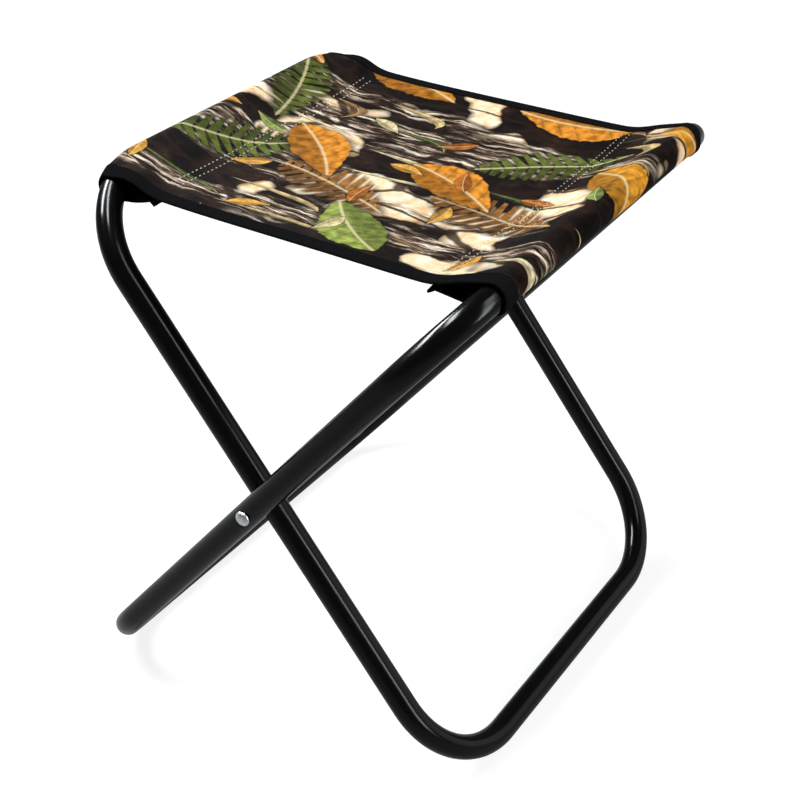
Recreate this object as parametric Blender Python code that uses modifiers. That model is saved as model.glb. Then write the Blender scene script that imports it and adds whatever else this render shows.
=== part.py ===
# Folding sling stool: two crossed tube hoops, riveted where they cross, and a sewn cloth seat.
# Metres, +Z up. X runs across the seat from bar to bar, Y along the bars, and the origin is on the floor.

from math import acos, atan2, cos, hypot, pi, radians, sin, sqrt

import bpy
from mathutils import Vector

# Frame tubes
TUBE_DIAMETER = 0.018
TUBE_WALL = 0.0012
BEND_RADIUS = 0.066
INNER_LEG_SPACING = 0.332
INNER_LEAN = radians(51.5)
OUTER_LEAN = radians(50.5)
PIVOT_HEIGHT = 0.1958
SEAT_BAR_HEIGHT = 0.3803
TUBE_END_GAP = 0.0006
FOOT_FLAT_INSET = 0.004
SPIGOT_LENGTH = 0.080
SPIGOT_WALL = 0.0015

# Pivot rivets and their washers
SHANK_DIAMETER = 0.006
HEAD_DIAMETER = 0.0105
HEAD_HEIGHT = 0.0030
SET_HEAD_DIAMETER = 0.0090
SET_HEAD_HEIGHT = 0.0022
SPACER_DIAMETER = 0.015
SPACER_THICKNESS = 0.0010
SET_WASHER_DIAMETER = 0.013
SET_WASHER_THICKNESS = 0.0010

# Cloth seat: the sleeves reach past the inner bar's straight stretch, over the start of its bends
CLOTH_THICKNESS = 0.0008
SLEEVE_OVER_BEND = 0.038
SLEEVE_FOLLOW = 0.6
MOUTH_FLARE = 0.0010
STITCH_INSET = 0.045
HEM_TAIL = 0.008
SAG_MIDDLE = 0.007
SAG_EDGE = 0.004
TAPE_WIDTH = 0.010
TAPE_THICKNESS = 0.0005
TAPE_RUN_IN = 0.009

# Clearance between pieces that touch
FIT_GAP = 0.0003

# Facets
TUBE_SIDES = 20
BEND_STEPS = 8
TURNED_SIDES = 24
DOME_STEPS = 5
PANEL_STEPS = 10
WRAP_STEPS = 10
STRAIGHT_STATIONS = 4
BEND_STATIONS = 3

# Worked out from the sizes above
TUBE_RADIUS = TUBE_DIAMETER / 2
FACET_RADIUS = TUBE_RADIUS * cos(pi / TUBE_SIDES)
INNER_HALF = INNER_LEG_SPACING / 2
OUTER_HALF = INNER_HALF + TUBE_DIAMETER + SPACER_THICKNESS + 2 * FIT_GAP
STRAIGHT_HALF = INNER_HALF - BEND_RADIUS
CLOTH_HALF = STRAIGHT_HALF + SLEEVE_OVER_BEND
FOLD_HALF = CLOTH_HALF + FIT_GAP + TAPE_THICKNESS
TAPE_START = CLOTH_HALF - TAPE_WIDTH
TAPE_OFFSET = CLOTH_THICKNESS / 2 + FIT_GAP + TAPE_THICKNESS / 2
HOLE_RADIUS = (SHANK_DIAMETER / 2 + FIT_GAP) / cos(pi / TURNED_SIDES)


class Hoop:
    # One bent tube: side is -1 where its top bar is at -X, and the legs lean across to the other side

    def __init__(self, name, side, lean, half):
        self.name = name
        self.side = side
        self.lean = lean
        self.half = half
        self.leg_up = (SEAT_BAR_HEIGHT - PIVOT_HEIGHT) / sin(lean)
        self.leg_down = (PIVOT_HEIGHT - FACET_RADIUS) / sin(lean)
        self.reach = self.leg_up * cos(lean)
        self.turn = -lean if side > 0 else lean - pi


INNER = Hoop("inner_hoop", -1, INNER_LEAN, INNER_HALF)
OUTER = Hoop("outer_hoop", 1, OUTER_LEAN, OUTER_HALF)


def clear_scene():
    for item in list(bpy.data.objects):
        bpy.data.objects.remove(item, do_unlink=True)


def new_collection(name):
    collection = bpy.data.collections.new(name)
    bpy.context.scene.collection.children.link(collection)
    return collection


def finish(item, name, collection, colour, roughness, metallic):
    material = bpy.data.materials.new(name)
    material.use_nodes = True
    shader = material.node_tree.nodes["Principled BSDF"]
    shader.inputs["Base Color"].default_value = (*colour, 1)
    shader.inputs["Roughness"].default_value = roughness
    shader.inputs["Metallic"].default_value = metallic
    item.name = name
    item.data.materials.clear()
    item.data.materials.append(material)
    item.data.shade_smooth()
    for other in item.users_collection:
        other.objects.unlink(item)
    collection.objects.link(item)
    return item


def black_enamel(item, name, collection):
    return finish(item, name, collection, (0.012, 0.012, 0.013), 0.22, 0.0)


def zinc(item, name, collection):
    return finish(item, name, collection, (0.72, 0.73, 0.74), 0.3, 1.0)


# Tube hoops

def hoop_path(hoop):
    # Starts and ends in the middle of the top bar, where the tube's two ends meet
    along = (hoop.leg_up - BEND_RADIUS, BEND_RADIUS - hoop.leg_down)
    across = hoop.half - BEND_RADIUS
    corners = [(along[0], across), (along[1], across), (along[1], -across), (along[0], -across)]
    points = [(hoop.leg_up, TUBE_END_GAP / 2)]
    for quarter, (x, y) in enumerate(corners):
        for step in range(BEND_STEPS + 1):
            angle = pi / 2 * (quarter + step / BEND_STEPS)
            points.append((x + BEND_RADIUS * cos(angle), y + BEND_RADIUS * sin(angle)))
        if quarter == 1:
            # Square sections on the bottom bar, so that its lowest facet is flat between them
            foot_flat = across - FOOT_FLAT_INSET
            points += [(-hoop.leg_down, foot_flat), (-hoop.leg_down, -foot_flat)]
    points.append((hoop.leg_up, -TUBE_END_GAP / 2))
    return points


def hoop_tube(hoop, pivot, cutter, collection):
    # The tilt turns one facet of the bottom bar flat to the floor
    tilt = hoop.side * (pi / 2 - hoop.lean) + pi / TUBE_SIDES
    path = hoop_path(hoop)
    curve = bpy.data.curves.new(hoop.name, "CURVE")
    curve.dimensions = "3D"
    curve.twist_mode = "Z_UP"
    curve.bevel_depth = TUBE_RADIUS
    curve.bevel_resolution = TUBE_SIDES // 2 - 2
    curve.use_fill_caps = False
    spline = curve.splines.new("POLY")
    spline.points.add(len(path) - 1)
    for point, (x, y) in zip(spline.points, path):
        point.co = (x, y, 0, 1)
        point.tilt = tilt
    guide = bpy.data.objects.new(hoop.name + "_path", curve)
    collection.objects.link(guide)
    bpy.context.view_layer.update()
    evaluated = guide.evaluated_get(bpy.context.evaluated_depsgraph_get())
    mesh = bpy.data.meshes.new_from_object(evaluated)
    bpy.data.objects.remove(guide, do_unlink=True)

    tube = bpy.data.objects.new(hoop.name + "_tube", mesh)
    tube.parent = pivot
    tube.rotation_euler = (0, hoop.turn, 0)
    black_enamel(tube, hoop.name + "_tube", collection)
    wall = tube.modifiers.new("wall", "SOLIDIFY")
    wall.thickness = TUBE_WALL
    wall.offset = -1
    wall.use_even_offset = True
    holes = tube.modifiers.new("rivet_holes", "BOOLEAN")
    holes.operation = "DIFFERENCE"
    holes.solver = "EXACT"
    holes.object = cutter
    return tube


def rivet_hole_cutter(pivot, collection):
    length = 2 * (OUTER_HALF + TUBE_DIAMETER)
    bpy.ops.mesh.primitive_cylinder_add(vertices=TURNED_SIDES, radius=HOLE_RADIUS, depth=length)
    cutter = bpy.context.object
    cutter.name = "rivet_hole_cutter"
    cutter.parent = pivot
    cutter.rotation_euler = (pi / 2, 0, 0)
    cutter.hide_render = True
    cutter.display_type = "WIRE"
    for other in cutter.users_collection:
        other.objects.unlink(cutter)
    collection.objects.link(cutter)
    return cutter


# Turned pieces

def turned(profile, closed=False):
    # Profile points are radius and height, down the outer side from the top
    mesh = bpy.data.meshes.new("turned")
    edges = [(i, i + 1) for i in range(len(profile) - 1)]
    if closed:
        edges.append((len(profile) - 1, 0))
    mesh.from_pydata([(radius, 0, height) for radius, height in profile], edges, [])
    item = bpy.data.objects.new("turned", mesh)
    screw = item.modifiers.new("turn", "SCREW")
    screw.axis = "Z"
    screw.steps = TURNED_SIDES
    screw.render_steps = TURNED_SIDES
    screw.use_merge_vertices = True
    screw.merge_threshold = 0.00001
    return item


def ring(outer_radius, inner_radius, low, high):
    profile = [(outer_radius, high), (outer_radius, low), (inner_radius, low), (inner_radius, high)]
    return turned(profile, closed=True)


def face_outward(item, pivot, end):
    # A turned piece on the pivot axis: its +Z points out of the front, end -1, or of the back, end 1
    item.parent = pivot
    item.rotation_euler = (-end * pi / 2, 0, 0)
    return item


def rivet(pivot, end, name, collection):
    seat = OUTER_HALF + TUBE_RADIUS + FIT_GAP
    set_seat = INNER_HALF - TUBE_RADIUS - SET_WASHER_THICKNESS - 2 * FIT_GAP
    shank = SHANK_DIAMETER / 2
    quarter = [pi / 2 * step / DOME_STEPS for step in range(DOME_STEPS + 1)]
    profile = [(HEAD_DIAMETER / 2 * sin(a), seat + HEAD_HEIGHT * cos(a)) for a in quarter]
    profile += [(shank, seat), (shank, set_seat)]
    profile += [(SET_HEAD_DIAMETER / 2 * cos(a), set_seat - SET_HEAD_HEIGHT * sin(a)) for a in quarter]
    return zinc(face_outward(turned(profile), pivot, end), name, collection)


def washer(pivot, end, diameter, thickness, low, name, collection):
    item = ring(diameter / 2, HOLE_RADIUS, low, low + thickness)
    return zinc(face_outward(item, pivot, end), name, collection)


def spigot(hoop, tube, collection):
    outer_radius = FACET_RADIUS - TUBE_WALL - FIT_GAP
    item = ring(outer_radius, outer_radius - SPIGOT_WALL, -SPIGOT_LENGTH / 2, SPIGOT_LENGTH / 2)
    item.parent = tube
    item.location = (hoop.leg_up, 0, 0)
    item.rotation_euler = (pi / 2, 0, 0)
    return zinc(item, hoop.name + "_spigot", collection)


# Cloth seat

def mix(a, b, share):
    return a + (b - a) * share


def taped(y):
    # 0 over most of the seat, 1 where the edge tapes lie
    return min(1, max(0, (abs(y) - TAPE_START + TAPE_RUN_IN) / TAPE_RUN_IN))


def over_bend(y):
    # 0 along the inner bar's straight stretch, 1 in the sleeve's mouth, which keeps one shape below the tape
    return min(1, max(0, (abs(y) - STRAIGHT_HALF) / (TAPE_START - STRAIGHT_HALF)))


def panel_point(x, y):
    share = (x + INNER.reach) / (INNER.reach + OUTER.reach)
    sag = mix(SAG_MIDDLE, SAG_EDGE, min(1, abs(y) / TAPE_START) ** 2)
    return Vector((x, SEAT_BAR_HEIGHT - sag * 4 * share * (1 - share)))


def sleeve_points(hoop, y):
    # From the stitch line over the bar, round its outer side and back below the panel to the hem's end
    section = mix(min(abs(y), STRAIGHT_HALF), FOLD_HALF, over_bend(y))
    past = max(0, section - hoop.half + BEND_RADIUS)
    tube_top = sqrt((BEND_RADIUS + TUBE_RADIUS) ** 2 - past ** 2) - BEND_RADIUS
    bottom = sqrt((BEND_RADIUS - TUBE_RADIUS) ** 2 - past ** 2) - BEND_RADIUS
    top = mix(TUBE_RADIUS, tube_top, SLEEVE_FOLLOW)
    clear = CLOTH_THICKNESS / 2 + FIT_GAP + MOUTH_FLARE * over_bend(y)
    clear += taped(y) * (TAPE_THICKNESS + FIT_GAP)
    half_length = (top - bottom) / 2 + clear
    half_depth = TUBE_RADIUS + clear

    up = Vector((hoop.side * cos(hoop.lean), sin(hoop.lean)))
    out = Vector((hoop.side * sin(hoop.lean), -cos(hoop.lean)))
    middle = Vector((hoop.side * hoop.reach, SEAT_BAR_HEIGHT)) + up * (top + bottom) / 2
    layers = mix(CLOTH_THICKNESS, 2 * TAPE_OFFSET + TAPE_THICKNESS, taped(y)) + FIT_GAP
    below = Vector((0, -layers))
    stitch = panel_point(hoop.side * (hoop.reach - STITCH_INSET), y)
    tail = panel_point(hoop.side * (hoop.reach - STITCH_INSET - HEM_TAIL), y)

    def tangent(point, sign):
        along = (point - middle).dot(up) / half_length
        across = (point - middle).dot(out) / half_depth
        return atan2(across, along) + sign * acos(1 / hypot(along, across))

    first = tangent(stitch, 1)
    last = tangent(stitch + below, -1) + 2 * pi
    ease = 1 / cos((last - first) / WRAP_STEPS / 2)
    wrap = []
    for step in range(WRAP_STEPS + 1):
        angle = mix(first, last, step / WRAP_STEPS)
        wrap.append(middle + ease * (up * half_length * cos(angle) + out * half_depth * sin(angle)))
    over = (stitch + wrap[0]) / 2
    under = (stitch + below + wrap[-1]) / 2
    return [over] + wrap + [under, stitch + below, tail + below]


def seat_profile(y):
    left = -INNER.reach + STITCH_INSET
    right = OUTER.reach - STITCH_INSET
    panel = [panel_point(mix(left, right, i / PANEL_STEPS), y) for i in range(PANEL_STEPS + 1)]
    return sleeve_points(INNER, y)[::-1] + panel + sleeve_points(OUTER, y)


def offset_profile(points, distance):
    moved = []
    for i, point in enumerate(points):
        run = points[min(i + 1, len(points) - 1)] - points[max(i - 1, 0)]
        moved.append(point + distance * Vector((-run.y, run.x)).normalized())
    return moved


def cloth(rows, thickness):
    # Rows of points at their own Y, skinned as one open sheet and thickened
    count = len(rows[0][1])
    points = [(point.x, y, point.y) for y, row in rows for point in row]
    faces = []
    for r in range(len(rows) - 1):
        for i in range(count - 1):
            first = r * count + i
            faces.append((first, first + 1, first + count + 1, first + count))
    mesh = bpy.data.meshes.new("cloth")
    mesh.from_pydata(points, [], faces)
    item = bpy.data.objects.new("cloth", mesh)
    solid = item.modifiers.new("thickness", "SOLIDIFY")
    solid.thickness = thickness
    solid.offset = 0
    solid.use_even_offset = True
    return item


def seat_cloth(collection):
    bends = [mix(STRAIGHT_HALF, TAPE_START, i / BEND_STATIONS) for i in range(1, BEND_STATIONS + 1)]
    ends = bends + [CLOTH_HALF]
    middle = [STRAIGHT_HALF * (2 * i / STRAIGHT_STATIONS - 1) for i in range(STRAIGHT_STATIONS + 1)]
    stations = [-y for y in reversed(ends)] + middle + ends
    item = cloth([(y, seat_profile(y)) for y in stations], CLOTH_THICKNESS)
    return finish(item, "seat_cloth", collection, (0.09, 0.065, 0.045), 0.75, 0.0)


def edge_binding(end, name, collection):
    # A tape folded over the edge: in along the top, down past the edge and back below
    fold = end * (CLOTH_HALF + FIT_GAP + TAPE_THICKNESS / 2)
    above = offset_profile(seat_profile(fold), TAPE_OFFSET)
    below = offset_profile(seat_profile(fold), -TAPE_OFFSET)
    rows = [(end * TAPE_START, above), (fold, above), (fold, below), (end * TAPE_START, below)]
    item = cloth(rows, TAPE_THICKNESS)
    return finish(item, name, collection, (0.01, 0.01, 0.011), 0.85, 0.0)


def build():
    clear_scene()
    stool = new_collection("folding_sling_stool")
    cutters = new_collection("cutters")
    pivots = {}
    for name in ("outer_hoop_pivot", "inner_hoop_pivot"):
        pivots[name] = bpy.data.objects.new(name, None)
        pivots[name].location = (0, 0, PIVOT_HEIGHT)
        stool.objects.link(pivots[name])
    fixed = pivots["outer_hoop_pivot"]
    cutter = rivet_hole_cutter(fixed, cutters)
    for hoop in (OUTER, INNER):
        tube = hoop_tube(hoop, pivots[hoop.name + "_pivot"], cutter, stool)
        spigot(hoop, tube, stool)

    spacer_low = INNER_HALF + TUBE_RADIUS + FIT_GAP
    set_washer_low = INNER_HALF - TUBE_RADIUS - FIT_GAP - SET_WASHER_THICKNESS
    for end, place in ((-1, "front"), (1, "rear")):
        rivet(fixed, end, place + "_pivot_rivet", stool)
        washer(fixed, end, SPACER_DIAMETER, SPACER_THICKNESS, spacer_low, place + "_spacer_washer", stool)
        washer(fixed, end, SET_WASHER_DIAMETER, SET_WASHER_THICKNESS, set_washer_low,
               place + "_set_washer", stool)
        edge_binding(end, place + "_edge_binding", stool)
    seat_cloth(stool)
    bpy.context.view_layer.update()


build()
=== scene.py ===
from math import acos, atan2, ceil, cos, hypot, pi, radians, sin, sqrt

import bmesh
import bpy
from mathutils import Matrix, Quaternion, Vector, noise


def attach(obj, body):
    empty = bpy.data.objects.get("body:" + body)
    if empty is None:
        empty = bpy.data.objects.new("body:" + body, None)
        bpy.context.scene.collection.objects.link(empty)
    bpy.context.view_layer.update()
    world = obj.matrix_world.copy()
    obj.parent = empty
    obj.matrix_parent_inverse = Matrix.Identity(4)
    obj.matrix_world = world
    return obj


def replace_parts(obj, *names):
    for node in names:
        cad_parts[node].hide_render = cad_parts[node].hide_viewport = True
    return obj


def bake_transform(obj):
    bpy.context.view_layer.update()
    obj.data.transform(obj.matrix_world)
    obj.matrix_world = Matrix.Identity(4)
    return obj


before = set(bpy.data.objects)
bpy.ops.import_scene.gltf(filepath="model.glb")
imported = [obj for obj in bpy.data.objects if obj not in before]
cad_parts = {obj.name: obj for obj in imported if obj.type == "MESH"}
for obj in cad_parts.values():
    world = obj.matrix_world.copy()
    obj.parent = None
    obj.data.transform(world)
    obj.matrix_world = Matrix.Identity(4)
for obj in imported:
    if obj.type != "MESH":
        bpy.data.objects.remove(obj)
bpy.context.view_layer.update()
print("frame loaded:", len(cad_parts), "CAD nodes")

scene = bpy.context.scene
scene.view_settings.view_transform = "Standard"

# camera, from a fit of the tube edges in the photograph
cameraSetup = {"place": (0.5248, -0.8323, 0.7996), "turn": 32.33, "tilt": 32.03, "lens": 69.96, "sensor": 36}

cameraData = bpy.data.cameras.new("stoolCamera")
cameraData.lens = cameraSetup["lens"]
cameraData.sensor_width = cameraSetup["sensor"]
camera = bpy.data.objects.new("stoolCamera", cameraData)
camera.location = cameraSetup["place"]
camera.rotation_euler = (pi / 2 - radians(cameraSetup["tilt"]), 0, radians(cameraSetup["turn"]))
scene.collection.objects.link(camera)
scene.camera = camera
print("camera set")


# small helpers for every piece

def linear(hexColour):
    channels = [int(hexColour[i:i + 2], 16) / 255 for i in (1, 3, 5)]
    return [c / 12.92 if c <= 0.04045 else ((c + 0.055) / 1.055) ** 2.4 for c in channels] + [1]


# inputs are named or numbered, or a list in the node's own order; a node stands for its first output in use
def setInputs(tree, node, inputs):
    for key, value in inputs.items() if isinstance(inputs, dict) else enumerate(inputs):
        socket = node.inputs[key] if isinstance(key, int) else next(
            s for s in node.inputs if s.name == key and s.enabled)
        if isinstance(value, bpy.types.Node):
            value = next(s for s in value.outputs if s.enabled)
        if isinstance(value, bpy.types.NodeSocket):
            tree.links.new(value, socket)
        else:
            socket.default_value = value


def addNode(tree, kind, inputs=(), ramp=None, **settings):
    node = tree.nodes.new("ShaderNode" + kind)
    for key, value in settings.items():
        setattr(node, key, value)
    if ramp:  # (place, colour) stops
        stops = node.color_ramp.elements
        while len(stops) < len(ramp):
            stops.new(1)
        for stop, (place, colour) in zip(stops, ramp):
            stop.position, stop.color = place, linear(colour)
    setInputs(tree, node, inputs)
    return node


def waveScale(pitchMm):  # a wave texture at scale 1 repeats every pi / 10 metres
    return pi / 10 / (pitchMm / 1000)


def newMaterial(name):
    material = bpy.data.materials.new(name)
    material.use_nodes = True
    tree = material.node_tree
    return material, tree, tree.nodes["Principled BSDF"]


def addMesh(name, points, faces, materials, smooth=True):
    mesh = bpy.data.meshes.new(name)
    mesh.from_pydata([tuple(p) for p in points], [], faces)
    mesh.validate()
    piece = bpy.data.objects.new(name, mesh)
    scene.collection.objects.link(piece)
    for material in materials:
        mesh.materials.append(material)
    if smooth:
        mesh.shade_smooth()
    return piece


def sharpenEdges(piece, angle=40):
    piece.data.set_sharp_from_angle(angle=radians(angle))


def faceOutwards(piece, sharpAngle=40):
    work = bmesh.new()
    work.from_mesh(piece.data)
    bmesh.ops.recalc_face_normals(work, faces=work.faces)
    work.to_mesh(piece.data)
    work.free()
    sharpenEdges(piece, sharpAngle)


def applyModifiers(piece):
    depsgraph = bpy.context.evaluated_depsgraph_get()
    mesh = bpy.data.meshes.new_from_object(piece.evaluated_get(depsgraph))
    piece.modifiers.clear()
    piece.data = mesh


def mix(a, b, share):
    return a + (b - a) * share


def clamp(value):
    return min(1, max(0, value))


noiseSpan = (0.3, 0.7)  # where most of a noise texture's values lie

# Stove enamel, baked on over steel tube: deep black, wet-looking streaks of light, faint orange peel
enamelLook = {"colour": "#070708", "rough": (0.14, 0.22), "hazeMm": 35, "peelMm": 3.0, "peelDepth": 0.000005,
              "relief": 0.5, "ior": 1.5, "specular": 0.2}


def stoveEnamel():
    material, tree, shader = newMaterial("blackStoveEnamel")
    where = addNode(tree, "TexCoord").outputs["Object"]
    haze = addNode(tree, "TexNoise", {"Vector": where, "Scale": 1000 / enamelLook["hazeMm"], "Detail": 4})
    rough = addNode(tree, "MapRange", [haze, *noiseSpan, *enamelLook["rough"]])
    peel = addNode(tree, "TexNoise", {"Vector": where, "Scale": 1000 / enamelLook["peelMm"], "Detail": 1})
    bump = addNode(tree, "Bump", {"Height": peel, "Strength": enamelLook["relief"],
                                  "Distance": enamelLook["peelDepth"]})
    setInputs(tree, shader, {"Base Color": linear(enamelLook["colour"]), "IOR": enamelLook["ior"],
                             "Specular IOR Level": enamelLook["specular"], "Roughness": rough,
                             "Normal": bump})
    return material


# Bright zinc plate on turned steel: cool silver, softly mirrored, with small cloudy handling marks
zincLook = {"tints": [(0.3, "#d6d8da"), (0.65, "#f4f5f6")], "rough": (0.45, 0.28), "cloudMm": 2.5,
            "cloudDepth": 0.00005, "relief": 0.15}


def zincPlate():
    material, tree, shader = newMaterial("brightZincPlate")
    where = addNode(tree, "TexCoord").outputs["Object"]
    cloud = addNode(tree, "TexNoise", {"Vector": where, "Scale": 1000 / zincLook["cloudMm"], "Detail": 5})
    tint = addNode(tree, "ValToRGB", {"Fac": cloud}, ramp=zincLook["tints"])
    rough = addNode(tree, "MapRange", [cloud, *noiseSpan, *zincLook["rough"]])
    bump = addNode(tree, "Bump", {"Height": cloud, "Strength": zincLook["relief"],
                                  "Distance": zincLook["cloudDepth"]})
    setInputs(tree, shader, {"Metallic": 1, "Base Color": tint, "Roughness": rough, "Normal": bump})
    return material


# Plain-woven polyester, printed on one face: matt, with dots of thread in the pale parts, shown by painted
# shade and highlight.
# The real thread spacing is about 0.4 mm; it is drawn at 1.3 mm so that it shows.
clothLook = {
    "threadMm": 1.3, "threadDepth": 0.00016, "paintedThreadShade": (0.78, 1.08), "rough": 0.85, "specular": 0.05,
    "relief": 0.6, "sheen": 0.02, "sheenRough": 0.4,
    "driftMm": 42, "stray": 0.022,  # how far, in metres, the edges in the print wander
    "ground": [(0.36, "#070504"), (0.50, "#130c0a"), (0.62, "#2a1c14"), (0.76, "#4d3829")], "groundMm": 24,
    "clearing": [(0.28, "#d6a672"), (0.40, "#f4ca97"), (0.52, "#ffe4bc"), (0.66, "#fff8e8")],
    "clearingMm": 84, "clearingEdge": (0.53, 0.56), "mottleMm": 13,
    "grain": [(0.38, "#080504"), (0.46, "#2b1f18"), (0.52, "#6f5b4b"), (0.57, "#c4b099"), (0.64, "#fff4e4")],
    "grainLongMm": 34, "grainWideMm": 4.2, "grainTurn": 62, "grainFieldMm": 60, "grainEdge": (0.56, 0.59),
    "stem": "#23140f", "stemMm": 30, "stemTurn": -24, "stemLength": 0.3, "stemEdge": (0.03, 0.06),
    "stemShare": 0.92,
    # kinds of leaf, the lowest first; lie is in degrees, spread is how far one may turn from it, in radians
    "leaves": [
        {"spacingMm": 26, "stretch": 4.5, "longMm": 92, "wideMm": 4.4, "lie": 38, "spread": 0.5, "keep": 0.5,
         "shift": (0.041, 0.017, 0), "teeth": 0, "edge": 0.05,
         "tints": [(0.0, "#d8bd85"), (0.3, "#8b6a45"), (0.55, "#4d5a2a"), (0.8, "#efdcb0")]},
        {"spacingMm": 118, "stretch": 1, "longMm": 112, "wideMm": 44, "lie": 0, "spread": 6.28, "keep": 0.6,
         "shift": (0.058, 0.301, 0), "teeth": 13, "edge": 0.05,
         "tints": [(0.0, "#5f6c2c"), (0.4, "#83913f"), (0.62, "#9a6630")]},
        {"spacingMm": 112, "stretch": 1, "longMm": 92, "wideMm": 42, "lie": 0, "spread": 6.28, "keep": 0.62,
         "shift": (0.213, 0.121, 0), "teeth": 0, "edge": 0.16,
         "tints": [(0.0, "#e0982e"), (0.40, "#b3bd62"), (0.58, "#dd8e2e"), (0.86, "#97a54e")]},
        {"spacingMm": 52, "stretch": 1, "longMm": 30, "wideMm": 11, "lie": 0, "spread": 6.28, "keep": 0.42,
         "shift": (0.117, 0.263, 0), "teeth": 0, "edge": 0.08,
         "tints": [(0.0, "#e2a544"), (0.35, "#8fa254"), (0.6, "#c0702a"), (0.8, "#e9d6a4")]},
    ],
}
# how one leaf is drawn: places and widths are shares of its own size, and tones multiply its tint
leafDraw = {
    "scatter": 0.5, "bow": 0.06, "taper": -0.4, "rippleMm": 7, "veins": 7, "softEdge": 0.05,
    "leafletGap": 0.06, "gapGrows": 0.24, "stalk": 0.06, "veinWide": 0.14, "veinTone": (0.66, 1.0),
    "halves": (-0.2, 0.2), "halfTone": (0.58, 1.1), "blush": (0.35, 0.68), "blushTone": (0.5, 1.25),
    "rib": (0.02, 0.08), "ribShare": 0.6, "ribColour": "#f0dfae",
    "shadow": (-0.28, 0.0), "shadowShare": 0.75, "shadowColour": "#0e0907",
}


def leafPlaces(tree, flat, look):  # one leaf to a cell: the cell's draws, and places along and across it
    spread, length, width = look["spread"], look["longMm"] / 1000, look["wideMm"] / 1000
    # long blades grow in cells that are stretched along their lie
    moved = addNode(tree, "Mapping", {"Vector": flat, "Location": look["shift"],
                                      "Rotation": (0, 0, radians(look["lie"])),
                                      "Scale": (1 / look["stretch"], 1, 1)})
    cells = addNode(tree, "TexVoronoi", {"Vector": moved, "Scale": 1000 / look["spacingMm"],
                                         "Randomness": leafDraw["scatter"]},
                    voronoi_dimensions="2D", feature="F1")
    chance = addNode(tree, "SeparateColor", {"Color": cells.outputs["Color"]}).outputs
    offset = addNode(tree, "VectorMath", [moved, cells.outputs["Position"]], operation="SUBTRACT")
    fromMiddle = addNode(tree, "VectorMath", [offset, (look["stretch"], 1, 1)], operation="MULTIPLY")
    angle = addNode(tree, "Math", [chance["Red"], spread, -spread / 2], operation="MULTIPLY_ADD")
    turned = addNode(tree, "VectorRotate", {"Vector": fromMiddle, "Angle": angle}, rotation_type="Z_AXIS")
    place = addNode(tree, "SeparateXYZ", {"Vector": turned}).outputs
    along = addNode(tree, "Math", [place["X"], 2 / length], operation="MULTIPLY")
    bow = addNode(tree, "Math", [along, along], operation="MULTIPLY")
    # the leaf bends a little to one side
    bent = addNode(tree, "Math", [bow, length * leafDraw["bow"], place["Y"]], operation="MULTIPLY_ADD")
    across = addNode(tree, "Math", [bent, 2 / width], operation="MULTIPLY")
    return chance, along, bow, across


def leafLayer(tree, flat, under, look):
    draw = leafDraw
    chance, along, bow, across = leafPlaces(tree, flat, look)
    aside = addNode(tree, "Math", [across], operation="ABSOLUTE")
    belly = addNode(tree, "Math", [1.0, bow], operation="SUBTRACT")
    taper = addNode(tree, "Math", [along, draw["taper"], 1.0], operation="MULTIPLY_ADD")
    blade = addNode(tree, "Math", [belly, taper], operation="MULTIPLY")
    inside = addNode(tree, "Math", [blade, aside], operation="SUBTRACT")
    wavy = addNode(tree, "TexNoise", {"Vector": flat, "Scale": 1000 / draw["rippleMm"], "Detail": 3})
    ripple = addNode(tree, "Math", [wavy, look["edge"] * 2, -look["edge"]], operation="MULTIPLY_ADD")
    inside = addNode(tree, "Math", [inside, ripple], operation="ADD")
    # side veins run forward from the midrib; on a frond they part the blade into narrow leaflets
    veins = (look["teeth"] or draw["veins"]) / 2
    slant = addNode(tree, "Math", [along, veins, aside], operation="MULTIPLY_ADD")
    vein = addNode(tree, "Math", [slant, 0.5], operation="PINGPONG")
    if look["teeth"]:
        gap = addNode(tree, "Math", [aside, draw["gapGrows"], draw["leafletGap"]], operation="MULTIPLY_ADD")
        leaflet = addNode(tree, "Math", [vein, gap], operation="SUBTRACT")
        stalk = addNode(tree, "Math", [draw["stalk"], aside], operation="SUBTRACT")
        frond = addNode(tree, "Math", [leaflet, stalk], operation="MAXIMUM")
        inside = addNode(tree, "Math", [inside, frond], operation="MINIMUM")
    mask = addNode(tree, "MapRange", [inside, 0.0, draw["softEdge"]])
    kept = addNode(tree, "Math", [chance["Green"], look["keep"]], operation="LESS_THAN")
    shown = addNode(tree, "Math", [mask, kept], operation="MULTIPLY")
    tint = addNode(tree, "ValToRGB", {"Fac": chance["Blue"]}, ramp=look["tints"])
    tint.color_ramp.interpolation = "CONSTANT"
    veinTone = addNode(tree, "MapRange", [vein, 0.0, draw["veinWide"], *draw["veinTone"]])
    halfTone = addNode(tree, "MapRange", [across, *draw["halves"], *draw["halfTone"]])
    blush = addNode(tree, "MapRange", [wavy, *draw["blush"], *draw["blushTone"]])
    tone = addNode(tree, "Math", [veinTone, halfTone], operation="MULTIPLY")
    tone = addNode(tree, "Math", [tone, blush], operation="MULTIPLY")
    shaded = addNode(tree, "VectorMath", {0: tint, "Scale": tone}, operation="SCALE")
    rib = addNode(tree, "MapRange", [aside, *draw["rib"], draw["ribShare"], 0.0])
    ribbed = addNode(tree, "Mix", {0: rib, 6: shaded, 7: linear(draw["ribColour"])}, data_type="RGBA")
    # a dark edge keeps the leaf apart from what it lies on
    shadow = addNode(tree, "MapRange", [inside, *draw["shadow"], 0.0, draw["shadowShare"]])
    shadow = addNode(tree, "Math", [shadow, kept], operation="MULTIPLY")
    ground = addNode(tree, "Mix", {0: shadow, 6: under, 7: linear(draw["shadowColour"])}, data_type="RGBA")
    return addNode(tree, "Mix", {0: shown, 6: ground, 7: ribbed}, data_type="RGBA")


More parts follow.
